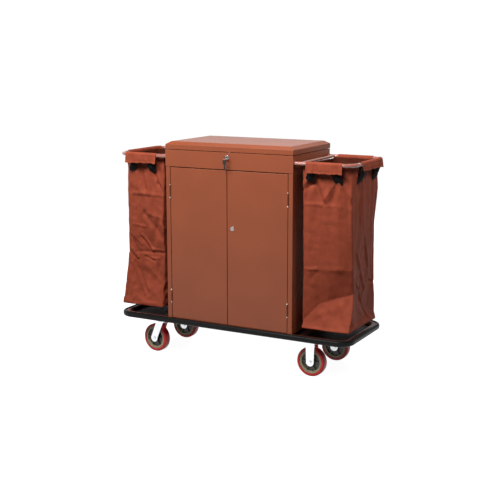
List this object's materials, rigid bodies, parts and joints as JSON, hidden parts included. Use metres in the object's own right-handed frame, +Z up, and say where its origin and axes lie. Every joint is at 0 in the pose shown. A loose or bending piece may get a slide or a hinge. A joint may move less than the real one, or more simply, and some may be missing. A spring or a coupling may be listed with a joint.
{
  "type": "housekeeping cart",
  "caption": "Steel cabinet cart with a lockable bevelled lid, double doors, tube hoops that carry cloth bags at both ends, a wraparound bumper and rolling casters.",
  "frame": {"origin": "on the floor, under the centre of the deck", "axes": "+X along the deck towards the fixed casters, -Y towards the doors, +Z up"},
  "size_m": [1.365, 0.4977, 1.155],
  "materials": {
    "cabinet_paint": "satin",
    "rim_paint": "gloss",
    "deck_paint": "satin",
    "hoop_paint": "gloss",
    "bumper_rubber": "gloss",
    "zinc_steel": "bright zinc",
    "hinge_steel": "satin",
    "lock_chrome": "polished",
    "key_steel": "bright nickel",
    "black_plastic": "matte",
    "bag_cloth": "coated nylon",
    "strap_webbing": "woven",
    "red_tread": "gloss polyurethane",
    "cast_core": "painted"
  },
  "bodies": {
    "cart_frame": {"amenity_tray": "cabinet_paint", "back_panel": "cabinet_paint", "base_rim": "rim_paint", "bumper": "bumper_rubber", "cabinet_floor": "cabinet_paint", "caster_plate_bolts": "zinc_steel", "cross_members": "deck_paint", "deck_pan": "deck_paint", "door_catches": "black_plastic", "fascia": "cabinet_paint", "frame_hinge_halves": "hinge_steel", "front_left_caster_plate": "zinc_steel", "front_right_fork": "zinc_steel", "hoop_flanges": "hoop_paint", "hoop_screws": "zinc_steel", "left_bag": "bag_cloth", "left_bag_flaps": "bag_cloth", "left_bag_straps": "strap_webbing", "left_hoop": "hoop_paint", "left_side_panel": "cabinet_paint", "lid_hinge_fixed_leaf": "zinc_steel", "lid_hinge_pin": "zinc_steel", "lid_lock_body": "lock_chrome", "rear_left_caster_plate": "zinc_steel", "rear_right_fork": "zinc_steel", "right_axles": "zinc_steel", "right_bag": "bag_cloth", "right_bag_flaps": "bag_cloth", "right_bag_straps": "strap_webbing", "right_hoop": "hoop_paint", "right_side_panel": "cabinet_paint", "shelf_clips": "zinc_steel", "shelves": "cabinet_paint"},
    "lid": {"lid": "cabinet_paint", "lid_strike": "zinc_steel", "lid_hinge_lid_leaf": "zinc_steel"},
    "left_door": {"left_door": "cabinet_paint", "left_door_hinge_halves": "hinge_steel"},
    "right_door": {"right_door": "cabinet_paint", "right_door_hinge_halves": "hinge_steel", "door_lock_body": "lock_chrome"},
    "door_lock": {"door_lock_plug": "lock_chrome", "door_lock_cam": "zinc_steel"},
    "lid_lock": {"lid_lock_plug": "lock_chrome", "lid_lock_cam": "zinc_steel", "inserted_key": "black_plastic"},
    "key_ring": {"key_ring": "key_steel"},
    "spare_key": {"spare_key": "black_plastic"},
    "front_left_swivel": {"front_left_fork": "zinc_steel", "front_left_axle": "zinc_steel"},
    "rear_left_swivel": {"rear_left_fork": "zinc_steel", "rear_left_axle": "zinc_steel"},
    "front_left_wheel": {"front_left_wheel_core": "cast_core", "front_left_tyre": "red_tread"},
    "rear_left_wheel": {"rear_left_wheel_core": "cast_core", "rear_left_tyre": "red_tread"},
    "front_right_wheel": {"front_right_wheel_core": "cast_core", "front_right_tyre": "red_tread"},
    "rear_right_wheel": {"rear_right_wheel_core": "cast_core", "rear_right_tyre": "red_tread"}
  },
  "joints": [
    {"name": "lid_hinge", "type": "hinge", "parent": "cart_frame", "child": "lid", "pos_m": [0, 0.2244, 1.114], "axis": [-1, 0, 0], "range_deg": [0, 100]},
    {"name": "left_door_hinge", "type": "hinge", "parent": "cart_frame", "child": "left_door", "pos_m": [-0.3395, -0.2235, 0.62], "axis": [0, 0, -1], "range_deg": [0, 165]},
    {"name": "right_door_hinge", "type": "hinge", "parent": "cart_frame", "child": "right_door", "pos_m": [0.3395, -0.2235, 0.62], "axis": [0, 0, 1], "range_deg": [0, 165]},
    {"name": "door_lock_turn", "type": "hinge", "parent": "right_door", "child": "door_lock", "pos_m": [0.028, -0.222, 0.728], "axis": [0, 1, 0], "range_deg": [0, 90]},
    {"name": "lid_lock_turn", "type": "hinge", "parent": "cart_frame", "child": "lid_lock", "pos_m": [0, -0.222, 1.089], "axis": [0, 1, 0], "range_deg": [0, 90]},
    {"name": "key_ring_swing", "type": "hinge", "parent": "lid_lock", "child": "key_ring", "pos_m": [0, -0.2496, 1.09], "axis": [0, 1, 0], "range_deg": [-30, 30]},
    {"name": "spare_key_swing", "type": "hinge", "parent": "key_ring", "child": "spare_key", "pos_m": [0, -0.2496, 1.07635], "axis": [0, 1, 0], "range_deg": [-30, 30]},
    {"name": "front_left_swivel_turn", "type": "hinge", "parent": "cart_frame", "child": "front_left_swivel", "pos_m": [-0.445, -0.152, 0.176], "axis": [0, 0, 1], "continuous": true},
    {"name": "rear_left_swivel_turn", "type": "hinge", "parent": "cart_frame", "child": "rear_left_swivel", "pos_m": [-0.445, 0.152, 0.176], "axis": [0, 0, 1], "continuous": true},
    {"name": "front_left_wheel_roll", "type": "hinge", "parent": "front_left_swivel", "child": "front_left_wheel", "pos_m": [-0.48485, -0.14851, 0.0762], "axis": [0.0872, 0.9962, 0], "continuous": true},
    {"name": "rear_left_wheel_roll", "type": "hinge", "parent": "rear_left_swivel", "child": "rear_left_wheel", "pos_m": [-0.485, 0.152, 0.0762], "axis": [0, 1, 0], "continuous": true},
    {"name": "front_right_wheel_roll", "type": "hinge", "parent": "cart_frame", "child": "front_right_wheel", "pos_m": [0.447, -0.152, 0.0762], "axis": [0, 1, 0], "continuous": true},
    {"name": "rear_right_wheel_roll", "type": "hinge", "parent": "cart_frame", "child": "rear_right_wheel", "pos_m": [0.447, 0.152, 0.0762], "axis": [0, 1, 0], "continuous": true}
  ]
}
